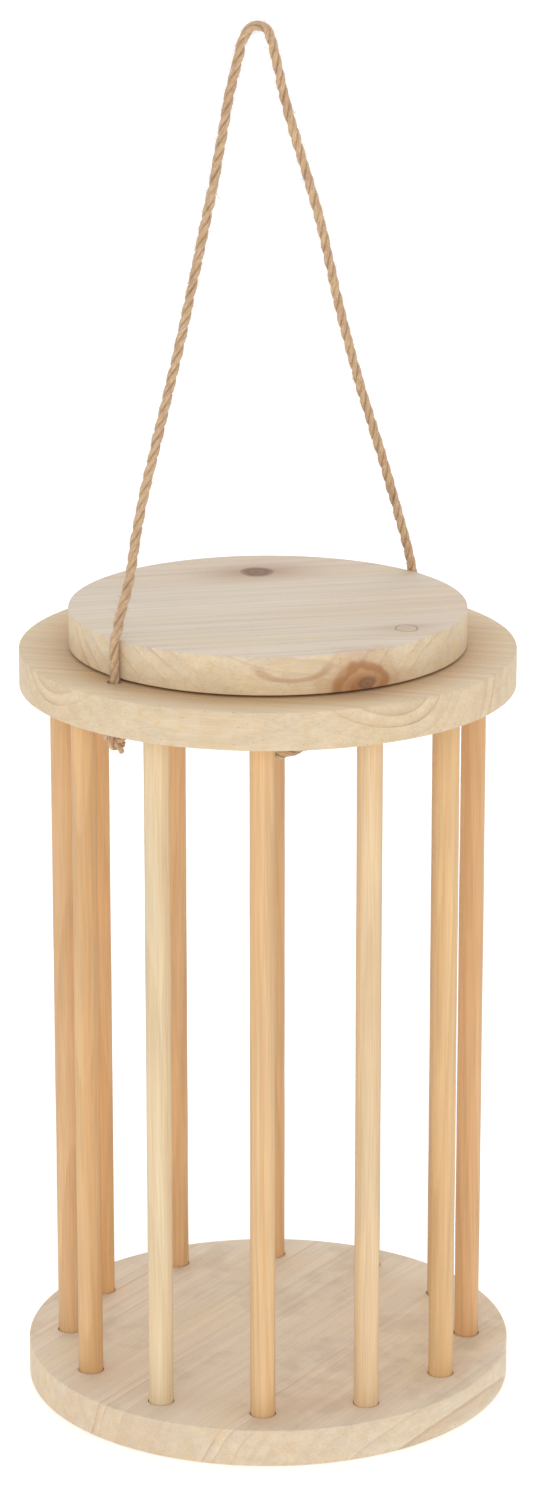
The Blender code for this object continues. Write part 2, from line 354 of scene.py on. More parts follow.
def jute(name, pale, deep):
    """Spun jute: fine fibres that wind round each strand, in straw and brown."""
    finish = Finish(name)
    uv = finish.add("ShaderNodeUVMap", uv_map="fibre").outputs[0]
    slant = finish.add("ShaderNodeMapping")
    finish.feed(uv, slant.inputs["Vector"])
    slant.inputs["Rotation"].default_value = (0.0, 0.0, radians(24))
    slant.inputs["Scale"].default_value = (1.6, 9.0, 1.0)
    fibres = finish.noise(slant.outputs[0], 2.6, 4.0, 0.62)
    place = finish.add("ShaderNodeTexCoord").outputs["Object"]
    patches = finish.noise(place, 95.0, 3.0, 0.6)
    tone = finish.blend(finish.step(fibres, 0.34, 0.66), (*deep, 1.0), (*pale, 1.0))
    redder = finish.blend(
        finish.step(patches, 0.42, 0.68, 0.0, 0.55), tone, (0.46, 0.275, 0.160, 1.0)
    )
    olive = finish.step(finish.noise(place, 210.0, 2.0), 0.50, 0.66, 0.0, 0.55)
    redder = finish.blend(olive, redder, (0.61, 0.440, 0.220, 1.0))
    # Painted shade: each strand is darkened towards the grooves where it lies against its
    # neighbours, and lightened a little where it faces out.
    parts = finish.add("ShaderNodeSeparateXYZ")
    finish.feed(uv, parts.inputs[0])
    facing_out = finish.maths("COSINE", finish.maths("MULTIPLY", parts.outputs["Y"], tau))
    painted_groove_shade = finish.scaled(redder, finish.step(facing_out, -0.4, 0.70, 0.70, 1.08))
    finish.feed(painted_groove_shade, finish.shader.inputs["Base Color"])
    finish.shader.inputs["Roughness"].default_value = 0.82
    finish.shader.inputs["Specular IOR Level"].default_value = 0.25
    finish.shader.inputs["Sheen Weight"].default_value = 0.25
    finish.shader.inputs["Sheen Roughness"].default_value = 0.5
    finish.bump(fibres, 0.6, 0.00025)
    return finish.material


rope_finish = jute("jute_rope", (0.74, 0.530, 0.345), (0.39, 0.240, 0.130))
fibre_finish = Finish("jute_fibre")
fibre_finish.shader.inputs["Base Color"].default_value = (0.74, 0.58, 0.42, 1.0)
fibre_finish.shader.inputs["Roughness"].default_value = 0.8

loop_points = [loop_point(share, side, ring_high.z + up) for share, side, up in LOOP_ROUTE]
hole_bottom_front = loop_point(-1.0, 0.0, ring_low.z)
hole_middle_front = loop_point(-1.0, 0.0, (ring_low.z + ring_high.z) / 2)
hole_bottom_back = loop_point(1.0, 0.0, ring_low.z)
hole_middle_back = loop_point(1.0, 0.0, (ring_low.z + ring_high.z) / 2)
rope_points = [
    hole_bottom_front,
    hole_middle_front,
    *loop_points,
    hole_middle_back,
    hole_bottom_back,
]
rope_line = smooth_line(rope_points, ROPE_LINE_STEP)
rope = laid_rope("rope", rope_line, seed=4)
rope.data.materials.append(rope_finish)
fuzz = loose_fibres("rope_fibres", rope_line, HAIR_COUNT, HAIR_REACH, seed=9)
fuzz.data.materials.append(fibre_finish.material)

# The rope and its hairs keep their shape as built; the CAD rope and its end pieces are hidden.
for piece in (rope, fuzz):
    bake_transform(piece)
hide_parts("hanging_rope", "rope_end_front", "rope_end_back")

# ---------------------------------------------------------------------------
# Knots. Each rope end is tied in a tight overhand knot under the ring, which
# the hole is too small to let through. The front end is cut short; the back
# one is left long and droops inside the cage.
# ---------------------------------------------------------------------------
def overhand_line(node, turn, ends_at):
    """The rope's line through one tight overhand knot inside the CAD knot's box."""
    low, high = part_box(node)
    middle = (low + high) / 2
    wide = (high.x - low.x) / 2 - ROPE_DIAMETER / 2
    tall = (high.z - low.z) / 2 - ROPE_DIAMETER / 2
    points = [Vector((middle.x, middle.y, high.z + 0.0003))]
    for i in range(9):
        t = radians(-150) + i * radians(300) / 8
        flat = Vector((sin(t) + 2.0 * sin(2 * t), -sin(3 * t) * 1.1, 0.0)) / 3.0
        flat.rotate(Matrix.Rotation(turn, 3, "Z"))
        height = (cos(t) - 2.0 * cos(2 * t)) / 3.0
        points.append(middle + wide * flat + Vector((0.0, 0.0, tall * height)))
    return [*points, ends_at]


KNOT_LINE_STEP = 0.0006
KNOT_END_FRAY = 0.003
KNOT_END_INWARD = 0.0030
KNOT_HAIR_COUNT = 90
KNOT_HAIR_REACH = 0.006
# Each knot's side, its turn about the hole, its share of the way out, and how far
# below the ring its end comes out.
KNOTS = (
    ("front", radians(20), -1.0, 0.0116),
    ("back", radians(200), 1.0, 0.0070),
)

knots = []
for side, turn, share, fall in KNOTS:
    hole = loop_point(share, 0.0, ring_low.z)
    inward = -Vector((hole.x, hole.y, 0.0)).normalized()
    ends_at = hole + KNOT_END_INWARD * inward - Vector((0.0, 0.0, fall))
    line = smooth_line(overhand_line(f"rope_knot_{side}", turn, ends_at), KNOT_LINE_STEP)
    knot = laid_rope(f"knot_{side}", line, seed=21, frayed=KNOT_END_FRAY)
    knot.data.materials.append(rope_finish)
    hairs = loose_fibres(f"knot_{side}_fibres", line, KNOT_HAIR_COUNT, KNOT_HAIR_REACH, seed=31)
    hairs.data.materials.append(fibre_finish.material)
    for piece in (knot, hairs):
        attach(piece, "cage")
    knots += [knot, hairs]
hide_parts("rope_knot_front")
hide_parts("rope_knot_back")

# ---------------------------------------------------------------------------
# Tail. What is left of the rope behind the back knot was never trimmed: it
# droops inward under the ring and ends bare, its cut strands a little open.
# ---------------------------------------------------------------------------
TAIL_ROUTE = [
    (0.0000, 0.0000, -0.0068),
    (0.0028, 0.0003, -0.0074),
    (0.0102, 0.0015, -0.0096),
    (0.0210, 0.0030, -0.0142),
    (0.0325, 0.0036, -0.0208),
    (0.0441, 0.0028, -0.0270),
    (0.0548, 0.0006, -0.0313),
    (0.0639, -0.0026, -0.0335),
    (0.0705, -0.0056, -0.0333),
]
KNOT_TO_TAIL = 0.0016
TAIL_END_FRAY = 0.005
TAIL_HAIR_COUNT = 220
TAIL_HAIR_REACH = 0.0045

knot_low, knot_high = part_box("rope_knot_back")
knot_side = rope_circle.length - (knot_high.x - knot_low.x) / 2 - KNOT_TO_TAIL
tail_points = []
for inward, side, up in TAIL_ROUTE:
    share = (knot_side - inward) / rope_circle.length
    tail_points.append(loop_point(share, side, ring_low.z + up))
tail_line = smooth_line(tail_points, ROPE_LINE_STEP)
tail = laid_rope("rope_tail", tail_line, seed=17, frayed=TAIL_END_FRAY)
tail.data.materials.append(rope_finish)
tail_fuzz = loose_fibres(
    "rope_tail_fibres", tail_line, TAIL_HAIR_COUNT, TAIL_HAIR_REACH, seed=19
)
tail_fuzz.data.materials.append(fibre_finish.material)
for piece in (tail, tail_fuzz):
    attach(piece, "cage")
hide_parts("rope_tail_back")

# ---------------------------------------------------------------------------
# Base board. A round cut from one wide softwood plank, planed, sanded and left
# bare. Its grain runs from the front left to the back right, and the twelve
# rods stand in sockets bored a hair too wide.
# ---------------------------------------------------------------------------
BOARD_SIDES = 240
BOARD_EDGE = 0.0005
SOCKET_EASE = 0.00035
SOCKET_SPARE_DEPTH = 0.0003
CUTTER_SIDES = 40
CUTTER_OVERRUN = 0.01

base_low, base_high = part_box("base_plate")
rod_names = sorted(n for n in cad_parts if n.startswith("dowel_"))
rod_boxes = [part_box(n) for n in rod_names]
rod_middles = [(low + high) / 2 for low, high in rod_boxes]
rod_radius = (rod_boxes[0][1].x - rod_boxes[0][0].x) / 2
rod_depth = base_high.z - rod_boxes[0][0].z


def take(piece):
    """Makes one object the only selected one and the active one."""
    bpy.ops.object.select_all(action="DESELECT")
    piece.select_set(True)
    bpy.context.view_layer.objects.active = piece


def select_edges(wanted):
    """Selects the edges of the piece in edit mode that the test takes."""
    shape = bmesh.from_edit_mesh(bpy.context.object.data)
    bpy.ops.mesh.select_all(action="DESELECT")
    for edge in shape.edges:
        if wanted(edge):
            edge.select = True
    shape.select_flush_mode()
    bmesh.update_edit_mesh(bpy.context.object.data)


def is_rim(edge):
    """True where two faces meet at a sharp corner."""
    return len(edge.link_faces) == 2 and edge.calc_face_angle() > radians(60)


def round_board(name, low, high, edge):
    """A disc sawn out of a plank, with its two rims eased by sandpaper."""
    bpy.ops.object.select_all(action="DESELECT")
    bpy.ops.mesh.primitive_cylinder_add(
        vertices=BOARD_SIDES,
        radius=(high.x - low.x) / 2,
        depth=high.z - low.z,
        location=(low + high) / 2,
        end_fill_type="NGON",
    )
    board = bpy.context.object
    board.name = name
    bpy.ops.object.transform_apply(location=True, rotation=True, scale=True)
    bpy.ops.object.mode_set(mode="EDIT")
    select_edges(is_rim)
    bpy.ops.mesh.bevel(offset=edge, segments=4, profile=0.5)
    bpy.ops.object.mode_set(mode="OBJECT")
    return board


def peg(middle, radius, bottom, top):
    """An upright cutter for a hole or a socket."""
    bpy.ops.object.select_all(action="DESELECT")
    bpy.ops.mesh.primitive_cylinder_add(
        vertices=CUTTER_SIDES,
        radius=radius,
        depth=top - bottom,
        location=(middle.x, middle.y, (top + bottom) / 2),
    )
    return bpy.context.object


def bore(board, cutters):
    """Cuts each peg out of the board, one after the other."""
    for cutter in cutters:
        take(board)
        boring = board.modifiers.new("bore", "BOOLEAN")
        boring.operation = "DIFFERENCE"
        boring.solver = "EXACT"
        boring.object = cutter
        bpy.ops.object.modifier_apply(modifier="bore")
        bpy.data.objects.remove(cutter, do_unlink=True)


def soften(board):
    """Smooth shading on the round walls, with the flats left flat."""
    take(board)
    bpy.ops.object.shade_smooth_by_angle(angle=radians(32))


# What a knot in the wood does where its own entry says nothing: how ragged it is, how far
# the yearly rings part round it or heap up over it, and how strongly each mark shows.
PLAIN_KNOT = {
    "ragged": 0.30,
    "rag_scale": 170.0,
    "part": 0.0,
    "heap": 0.0,
    "fill": 0.0,
    "outline": 0.0,
    "arcs": 0.0,
    "arc_pitch": 4.2,
    "arc_start": (0.0, 0.3),
    "arc_end": (1.2, 4.2),
    "arc_above": 1.0,
    "stain": 0.0,
    "stain_fall": (0.10, 0.42),
    "hue": (0.60, 0.34, 0.14),
}
DEEP_STAIN_FALL = 0.42
KNOT_ARC_BROWN = (0.40, 0.170, 0.055, 1.0)
KNOT_PALE = (0.27, 0.155, 0.10, 1.0)
KNOT_DEEP = (0.21, 0.115, 0.072, 1.0)
BARK_BROWN = (0.16, 0.08, 0.045, 1.0)
PORE_BROWN = (0.24, 0.13, 0.07, 1.0)
SMUDGE_BROWN = (0.40, 0.27, 0.17, 1.0)
# The latewood ramp of one year, as (part of the year, darkness).
YEAR = ((0.30, 0.05), (0.66, 0.26), (0.86, 0.55), (0.925, 1.0), (0.965, 0.75))


def knot_distances(finish, place, turn, knot):
    """How far a point is from a knot, in the knot's own sizes.

    Gives the signed distance across the grain, and the squares of the distances along
    the grain, across it and into the wood.
    """
    axis = Vector(knot["axis"]).normalized()
    grain_way = Vector((cos(radians(turn)), sin(radians(turn)), 0.0))
    grain_way = (grain_way - axis * grain_way.dot(axis)).normalized()
    cross_way = axis.cross(grain_way)
    along, across = knot["size"]
    ragged = finish.noise(place, knot["rag_scale"], 2.0, out="Color")
    ragged = finish.vector("SUBTRACT", ragged, (0.5, 0.5, 0.5))
    ragged = finish.vector("MULTIPLY", ragged, (across * knot["ragged"],) * 3)
    away = finish.vector("SUBTRACT", place, tuple(knot["at"]))
    away = finish.vector("ADD", away, ragged)
    lengthwise = finish.vector("DOT_PRODUCT", away, tuple(grain_way / along), out=1)
    crosswise = finish.vector("DOT_PRODUCT", away, tuple(cross_way / across), out=1)
    deepwise = finish.vector("DOT_PRODUCT", away, tuple(axis / knot["depth"]), out=1)
    squares = [finish.maths("MULTIPLY", d, d) for d in (lengthwise, crosswise, deepwise)]
    return crosswise, squares


def knot_marks(finish, colour, knot, radius, crosswise, stain):
    """A knot's stain, the arcs round it, its dark middle and the line of bark."""
    stained = finish.maths("MULTIPLY", stain, knot["stain"])
    colour = finish.blend(stained, colour, (*knot["hue"], 1.0))
    arcs = finish.maths("SINE", finish.maths("MULTIPLY_ADD", radius, knot["arc_pitch"], -1.0))
    arcs = finish.maths("MULTIPLY", finish.step(arcs, -0.65, 1.0), knot["arcs"])
    arcs = finish.maths("MULTIPLY", arcs, finish.step(radius, *knot["arc_start"]))
    arcs = finish.maths("MULTIPLY", arcs, finish.step(radius, *knot["arc_end"], 1.0, 0.0))
    below = finish.step(crosswise, -0.5, 0.4, 1.0, knot["arc_above"])
    colour = finish.blend(finish.maths("MULTIPLY", arcs, below), colour, KNOT_ARC_BROWN)
    inside = finish.step(radius, 0.82, 1.02, knot["fill"], 0.0)
    whorl = finish.step(finish.maths("SINE", finish.maths("MULTIPLY", radius, 13.0)), -0.8, 1.0)
    colour = finish.blend(inside, colour, finish.blend(whorl, KNOT_PALE, KNOT_DEEP))
    off_edge = finish.maths("ABSOLUTE", finish.maths("SUBTRACT", radius, 0.98))
    bark = finish.step(off_edge, 0.02, 0.13, knot["outline"], 0.0)
    return finish.blend(bark, colour, BARK_BROWN)


def latewood_lines(finish, reach, ring_width, drift, seed):
    """The dark part of each year, and a number of luck that each year has for itself."""
    years = finish.maths("DIVIDE", reach, ring_width)
    uneven_years = finish.add("ShaderNodeTexNoise", noise_dimensions="1D")
    finish.feed(finish.maths("ADD", years, seed * 3.1), uneven_years.inputs["W"])
    uneven_years.inputs["Scale"].default_value = 0.55
    uneven_years.inputs["Detail"].default_value = 1.0
    years = finish.maths("MULTIPLY_ADD", uneven_years.outputs["Fac"], 2.2, years)
    luck = finish.add("ShaderNodeTexWhiteNoise", noise_dimensions="1D")
    year = finish.maths("FLOOR", years)
    finish.feed(finish.maths("ADD", year, seed * 7.0), luck.inputs["W"])
    late = finish.add("ShaderNodeValToRGB")
    finish.feed(finish.maths("FRACT", years), late.inputs["Fac"])
    late.color_ramp.elements[0].position = 0.0
    late.color_ramp.elements[0].color = (0.0, 0.0, 0.0, 1.0)
    late.color_ramp.elements[1].position = 1.0
    late.color_ramp.elements[1].color = (0.0, 0.0, 0.0, 1.0)
    for at, dark in YEAR:
        late.color_ramp.elements.new(at).color = (dark, dark, dark, 1.0)
    strong = finish.maths("POWER", luck.outputs["Value"], 1.6)
    strong = finish.maths("MULTIPLY_ADD", strong, 0.85, 0.15)
    fading = finish.step(finish.noise(drift, 26.0, 2.0), 0.32, 0.70, 0.25, 1.0)
    shown = finish.maths("MULTIPLY", strong, fading)
    return finish.maths("MULTIPLY", late.outputs["Color"], shown), luck.outputs["Value"]


def painted_top_light_and_smudge(finish, colour, place, top_light_and_smudge):
    """Paints light or shade on the top face, fading across its spread from the middle, and smudges
    it with dirt.
    """
    parts = finish.add("ShaderNodeSeparateXYZ")
    finish.feed(place, parts.inputs[0])
    shown = finish.step(parts.outputs["Z"], top_light_and_smudge["top"] - 0.0006, top_light_and_smudge["top"] - 0.0002)
    level = finish.vector("MULTIPLY", place, (1.0, 1.0, 0.0))
    from_middle = finish.vector("LENGTH", level, out=1)
    top_light_fade = finish.step(from_middle, *top_light_and_smudge["spread"], 1.0, 0.0)
    shown = finish.maths("MULTIPLY", shown, top_light_fade)
    smudge = finish.step(finish.noise(place, 36.0, 3.0, 0.6), 0.50, 0.68, 0.0, top_light_and_smudge["smudge"])
    colour = finish.blend(finish.maths("MULTIPLY", shown, smudge), colour, SMUDGE_BROWN)
    # Painted light or shade: the top face's colour is multiplied by the tone, most at the inner
    # edge of the spread.
    top_painted_light = finish.blend(1.0, colour, (*top_light_and_smudge["tone"], 1.0), "MULTIPLY")
    return finish.blend(shown, colour, top_painted_light)


def pine(name, pale, deep, turn, heart, ring_width, seed, contrast=0.5, knots=(), top_light_and_smudge=None):
    """Bare sanded softwood as a solid: yearly rings about a heart, cut by every face.

    turn is the grain's direction about Z in degrees and heart the rings' centre line, as
    (across the grain, height). The last argument gives the top face's tint of painted light
    or shade, and its dirt smudges.
    """
    finish = Finish(name)
    place = finish.add("ShaderNodeTexCoord").outputs["Object"]
    laid = finish.add("ShaderNodeMapping")
    finish.feed(place, laid.inputs["Vector"])
    laid.inputs["Rotation"].default_value = (0.0, 0.0, radians(-turn))
    with_grain = laid.outputs[0]

    # How far the point is from the heart, with the wavers that every tree has.
    stretched = finish.vector("MULTIPLY", with_grain, (0.16, 1.0, 1.0))
    drift = finish.vector("ADD", stretched, (seed * 1.7, seed * 0.9, 0.0))
    slow_waver = finish.maths("SUBTRACT", finish.noise(drift, 12.0, 2.0), 0.5)
    quick_waver = finish.maths("SUBTRACT", finish.noise(drift, 75.0, 2.0), 0.5)
    from_heart = finish.vector("SUBTRACT", with_grain, (0.0, *heart))
    from_heart = finish.vector("MULTIPLY", from_heart, (0.0, 1.0, 1.0))
    reach = finish.vector("LENGTH", from_heart, out=1)
    reach = finish.maths("MULTIPLY_ADD", slow_waver, 0.011, reach)
    reach = finish.maths("MULTIPLY_ADD", quick_waver, 0.0016, reach)

    # The rings part round a branch, or heap up where it comes out of an edge.
    grown = []
    for marks in knots:
        knot = {**PLAIN_KNOT, **marks}
        crosswise, squares = knot_distances(finish, place, turn, knot)
        length_square, cross_square, deep_square = squares
        square = finish.maths("ADD", length_square, cross_square)
        square = finish.maths("ADD", square, deep_square)
        near = finish.maths("EXPONENT", finish.maths("MULTIPLY", square, -0.16))
        parted = finish.maths("MULTIPLY", near, crosswise)
        parted = finish.maths("MULTIPLY", parted, knot["size"][1])
        reach = finish.maths("MULTIPLY_ADD", parted, knot["part"], reach)
        reach = finish.maths("MULTIPLY_ADD", near, knot["heap"], reach)
        length_fall, cross_fall = knot["stain_fall"]
        fall = finish.maths("MULTIPLY", cross_square, cross_fall)
        fall = finish.maths("MULTIPLY_ADD", length_square, length_fall, fall)
        fall = finish.maths("MULTIPLY_ADD", deep_square, DEEP_STAIN_FALL, fall)
        stain = finish.maths("EXPONENT", finish.maths("MULTIPLY", fall, -1.0))
        grown.append((knot, finish.maths("SQRT", square), crosswise, stain))

    latewood, luck = latewood_lines(finish, reach, ring_width, drift, seed)
    hair = finish.vector("MULTIPLY", with_grain, (30.0, 1100.0, 1100.0))
    fibre = finish.noise(hair, 1.0, 3.0, 0.65)
    streaks = finish.noise(finish.vector("MULTIPLY", with_grain, (7.0, 230.0, 230.0)), 1.0, 2.0)
    cloud = finish.noise(drift, 17.0, 3.0, 0.55)
    blotch = finish.noise(finish.vector("MULTIPLY", with_grain, (14.0, 46.0, 46.0)), 1.0, 2.0)

    # The sawn edge takes up more dirt than the faces, so its lines and mottling are stronger.
    parts = finish.add("ShaderNodeSeparateXYZ")
    finish.feed(finish.add("ShaderNodeTexCoord").outputs["Normal"], parts.inputs[0])
    sawn = finish.step(finish.maths("ABSOLUTE", parts.outputs["Z"]), 0.3, 0.7, 1.0, 0.0)
    lines = finish.maths("MULTIPLY_ADD", sawn, 0.45, contrast)
    marked = finish.maths("MULTIPLY", latewood, lines)
    colour = finish.blend(marked, (*pale, 1.0), (*deep, 1.0))
    rosy = tuple(c * f for c, f in zip(pale, (0.975, 0.875, 0.800)))
    straw = tuple(c * f for c, f in zip(pale, (1.0, 0.965, 0.830)))
    warm = tuple(c * f for c, f in zip(pale, (0.960, 0.840, 0.660)))
    colour = finish.blend(finish.step(cloud, 0.42, 0.68, 0.0, 0.6), colour, (*rosy, 1.0))
    colour = finish.blend(finish.step(blotch, 0.50, 0.72, 0.0, 0.5), colour, (*straw, 1.0))
    tint = finish.step(fibre, 0.22, 0.78, 0.925, 1.055)
    tint = finish.maths("MULTIPLY", tint, finish.step(streaks, 0.30, 0.70, 0.955, 1.03))
    tint = finish.maths("MULTIPLY", tint, finish.step(luck, 0.0, 1.0, 0.975, 1.02))
    mottle = finish.noise(finish.vector("MULTIPLY", place, (1.0, 1.0, 1.3)), 170.0, 3.0, 0.6)
    mottle = finish.maths("MULTIPLY", finish.step(mottle, 0.42, 0.66, 0.0, 0.45), sawn)
    colour = finish.blend(mottle, colour, (*warm, 1.0))
    colour = finish.scaled(colour, tint)
    # Painted light or shade on the top face, and its dirt smudges.
    if top_light_and_smudge is not None:
        colour = painted_top_light_and_smudge(finish, colour, place, top_light_and_smudge)
    for knot, radius, crosswise, stain in grown:
        colour = knot_marks(finish, colour, knot, radius, crosswise, stain)

    # Here and there a resin pore, as a short dark dash along the grain.
    pores = finish.add("ShaderNodeTexVoronoi")
    finish.feed(finish.vector("MULTIPLY", with_grain, (70.0, 210.0, 210.0)), pores.inputs["Vector"])
    picked = finish.step(pores.outputs["Color"], 0.54, 0.56, 0.0, 0.75)
    speck = finish.step(pores.outputs["Distance"], 0.08, 0.15, 1.0, 0.0)
    speck = finish.maths("MULTIPLY", speck, picked)
    colour = finish.blend(speck, colour, PORE_BROWN)

    finish.feed(colour, finish.shader.inputs["Base Color"])
    finish.feed(finish.step(latewood, 0.0, 1.0, 0.62, 0.46), finish.shader.inputs["Roughness"])
    finish.shader.inputs["Specular IOR Level"].default_value = 0.35
    relief = finish.maths("MULTIPLY_ADD", latewood, 0.4, fibre)
    relief = finish.maths("MULTIPLY_ADD", speck, -1.5, relief)
    finish.bump(relief, 0.20, 0.0002)
    return finish.material


board_pale = (0.745, 0.630, 0.478)
board_deep = (0.440, 0.270, 0.145)
socket_bottom = base_high.z - rod_depth - SOCKET_SPARE_DEPTH
base = round_board("base_board", base_low, base_high, BOARD_EDGE)
sockets = [
    peg(middle, rod_radius + SOCKET_EASE, socket_bottom, base_high.z + CUTTER_OVERRUN)
    for middle in rod_middles
]
bore(base, sockets)
soften(base)
# Painted light: the base's top face is lightened and made bluer than its edge; the smudges are
# dirt.
base_top_light_and_smudge = {
    "top": base_high.z,
    "spread": (0.5, 1.0),
    "tone": (1.03, 1.045, 1.09),
    "smudge": 0.24,
}
base.data.materials.append(
    pine(
        "base_pine",
        board_pale,
        board_deep,
        turn=57.0,
        heart=(-0.140, -0.045),
        ring_width=0.0078,
        seed=3.0,
        contrast=0.9,
        top_light_and_smudge=base_top_light_and_smudge,
    )
)
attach(base, "cage")
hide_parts("base_plate")

# ---------------------------------------------------------------------------
# Rods. Twelve turned rods, glued into both boards. They come from different
# lengths of wood, so each has its own tint and its own straight stripes.
# ---------------------------------------------------------------------------
ROD_SIDES = 48
ROD_EDGE = 0.0006
ROD_STATIONS = 16
ROD_SWELL = 0.00006
# Each rod's pale and deep tone.
ROD_TINTS = [
    ((0.783, 0.530, 0.286), (0.639, 0.380, 0.167)),
    ((0.800, 0.597, 0.364), (0.680, 0.464, 0.246)),
    ((0.777, 0.525, 0.274), (0.630, 0.378, 0.162)),
    ((0.774, 0.478, 0.240), (0.623, 0.343, 0.150)),
    ((0.760, 0.550, 0.320), (0.630, 0.410, 0.200)),
    ((0.740, 0.520, 0.290), (0.600, 0.380, 0.180)),
    ((0.785, 0.510, 0.271), (0.653, 0.382, 0.172)),
    ((0.792, 0.518, 0.273), (0.638, 0.367, 0.168)),
    ((0.836, 0.518, 0.252), (0.682, 0.374, 0.151)),
    ((0.752, 0.485, 0.255), (0.618, 0.353, 0.163)),
    ((0.755, 0.484, 0.243), (0.617, 0.357, 0.147)),
    ((0.810, 0.650, 0.420), (0.690, 0.500, 0.280)),
]


def rod_wood(name, pale, deep, middle, seed):
    """Straight-grained rod: thin upright stripes, a slow change of tone and fine fibres."""
    finish = Finish(name)
    place = finish.add("ShaderNodeTexCoord").outputs["Object"]
    own = finish.vector("SUBTRACT", place, (middle.x, middle.y, -seed * 0.37))
    sway = finish.noise(finish.vector("MULTIPLY", own, (1.0, 1.0, 0.25)), 30.0, 1.0, out="Color")
    sway = finish.vector("SUBTRACT", sway, (0.5, 0.5, 0.5))
    sway = finish.vector("MULTIPLY", sway, (0.0035, 0.0035, 0.0))
    own = finish.vector("ADD", own, sway)
    heart = (0.021 * cos(seed * 2.4), 0.021 * sin(seed * 2.4), 0.0)
    off = finish.vector("MULTIPLY", finish.vector("SUBTRACT", own, heart), (1.0, 1.0, 0.02))
    reach = finish.vector("LENGTH", off, out=1)
    rings = finish.maths("FRACT", finish.maths("DIVIDE", reach, 0.0021))
    late = finish.step(rings, 0.25, 0.92)
    sharp = finish.step(rings, 0.93, 0.99, 1.0, 0.0)
    late = finish.maths("MULTIPLY", late, sharp)
    fibre = finish.noise(finish.vector("MULTIPLY", own, (1500.0, 1500.0, 26.0)), 1.0, 3.0, 0.6)
    band = finish.noise(finish.vector("MULTIPLY", own, (240.0, 240.0, 3.0)), 1.0, 2.0, 0.5)
    cloud = finish.noise(finish.vector("MULTIPLY", own, (30.0, 30.0, 12.0)), 1.0, 2.0, 0.5)
    colour = finish.blend(finish.maths("MULTIPLY", late, 0.40), (*pale, 1.0), (*deep, 1.0))
    rosy = tuple(c * f for c, f in zip(pale, (0.98, 0.88, 0.78)))
    colour = finish.blend(finish.step(band, 0.42, 0.66, 0.0, 0.6), colour, (*rosy, 1.0))
    tint = finish.step(fibre, 0.25, 0.75, 0.90, 1.06)
    tint = finish.maths("MULTIPLY", tint, finish.step(cloud, 0.3, 0.7, 0.94, 1.05))
    colour = finish.scaled(colour, tint)
    finish.feed(colour, finish.shader.inputs["Base Color"])
    finish.feed(finish.step(late, 0.0, 1.0, 0.55, 0.42), finish.shader.inputs["Roughness"])
    finish.shader.inputs["Specular IOR Level"].default_value = 0.4
    finish.bump(fibre, 0.18, 0.00015)
    return finish.material


def plain_rod(low, high):
    """A sawn-off length of round stock, its ends eased, cut into short stations."""
    bpy.ops.object.select_all(action="DESELECT")
    bpy.ops.mesh.primitive_cylinder_add(
        vertices=ROD_SIDES,
        radius=(high.x - low.x) / 2,
        depth=high.z - low.z,
        location=(low + high) / 2,
        end_fill_type="NGON",
    )
    rod = bpy.context.object
    bpy.ops.object.transform_apply(location=True, rotation=True, scale=True)
    bpy.ops.object.mode_set(mode="EDIT")
    select_edges(is_rim)
    bpy.ops.mesh.bevel(offset=ROD_EDGE, segments=3, profile=0.5)
    for i in range(1, ROD_STATIONS):
        bpy.ops.mesh.select_all(action="SELECT")
        bpy.ops.mesh.bisect(
            plane_co=(0.0, 0.0, low.z + (high.z - low.z) * i / ROD_STATIONS),
            plane_no=(0.0, 0.0, 1.0),
        )
    bpy.ops.object.mode_set(mode="OBJECT")
    soften(rod)
    return rod


def turned_rod(stock, stock_middle, name, middle, seed):
    """A copy of the stock at its own place, its girth a touch out of true."""
    rod = stock.copy()
    rod.data = stock.data.copy()
    rod.name = name
    bpy.context.scene.collection.objects.link(rod)
    chance = np.random.default_rng(seed)
    swell = chance.uniform(-ROD_SWELL, ROD_SWELL, ROD_STATIONS + 1)
    heights = np.linspace(rod_boxes[0][0].z, rod_boxes[0][1].z, ROD_STATIONS + 1)
    for vertex in rod.data.vertices:
        out = Vector((vertex.co.x - stock_middle.x, vertex.co.y - stock_middle.y, 0.0))
        vertex.co += middle - stock_middle
        if out.length > 1e-6:
            vertex.co += out.normalized() * float(np.interp(vertex.co.z, heights, swell))
    return rod


stock = plain_rod(*rod_boxes[0])
for i, middle in enumerate(rod_middles):
    rod = turned_rod(stock, rod_middles[0], f"rod_{i + 1:02d}", middle, seed=40 + i)
    pale, deep = ROD_TINTS[i]
    rod.data.materials.append(rod_wood(f"rod_wood_{i + 1:02d}", pale, deep, middle, i + 1.0))
    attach(rod, "cage")
    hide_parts(rod_names[i])
bpy.data.objects.remove(stock, do_unlink=True)

# ---------------------------------------------------------------------------
# Top ring. The same round as the base with its middle cut out for the lid's
# plug. The rods end in sockets in its underside, and two small holes through
# it let the rope pass.
# ---------------------------------------------------------------------------
PLUG_PLAY = 0.0010
ROPE_HOLE_RADIUS = 0.0030

plug_low, plug_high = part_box("lid_plug")
opening_radius = (plug_high.x - plug_low.x) / 2 + PLUG_PLAY
socket_top = rod_boxes[0][1].z + SOCKET_SPARE_DEPTH
below_ring = ring_low.z - CUTTER_OVERRUN
above_ring = ring_high.z + CUTTER_OVERRUN

ring = round_board("ring_board", ring_low, ring_high, BOARD_EDGE)
holes = [peg(Vector((0.0, 0.0, 0.0)), opening_radius, below_ring, above_ring)]
for middle in rod_middles:
    holes.append(peg(middle, rod_radius + SOCKET_EASE, below_ring, socket_top))
for share in (-1.0, 1.0):
    holes.append(peg(loop_point(share, 0.0, 0.0), ROPE_HOLE_RADIUS, below_ring, above_ring))
bore(ring, holes)
soften(ring)
